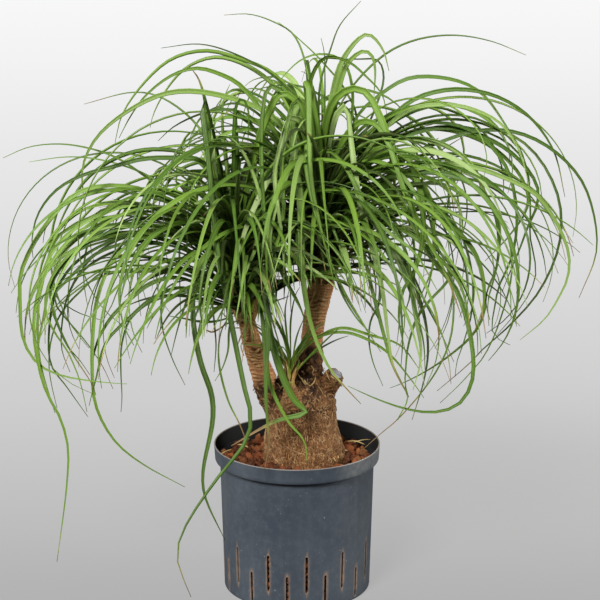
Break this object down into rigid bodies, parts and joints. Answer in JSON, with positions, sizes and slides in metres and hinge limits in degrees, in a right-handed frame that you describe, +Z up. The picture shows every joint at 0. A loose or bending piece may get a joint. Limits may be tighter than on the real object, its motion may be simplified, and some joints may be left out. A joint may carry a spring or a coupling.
{
  "type": "potted ponytail palm",
  "caption": "Potted ponytail palm: swollen trunk that forks into leafy crowns of long arching leaves, with a side shoot and a cut branch, in a slotted plastic pot of clay granules.",
  "frame": {"origin": "middle of the pot's flat underside", "axes": "+Z up, the plant's front as pictured faces -Y, +X to the viewer's right"},
  "size_m": [0.7655, 0.6645, 0.7891],
  "materials": {
    "pot_plastic": "moulded dark blue-grey plastic, satin, lightly scuffed",
    "fired_clay": "rough reddish-brown expanded clay",
    "bark": "fibrous brown bark, rough, ringed with leaf scars higher up",
    "cut_wood": "silver-grey dried cut",
    "leaf": "smooth mid-green blade with fine lengthwise ribs, soft sheen",
    "young_leaf": "fresh green blade, yellow at the foot, soft sheen"
  },
  "bodies": {
    "root": {"pot": "pot_plastic", "clay_granules": "fired_clay", "trunk": "bark", "cut_seal": "cut_wood", "crown_left": "leaf", "crown_right": "leaf", "side_shoot": "young_leaf"}
  },
  "joints": []
}
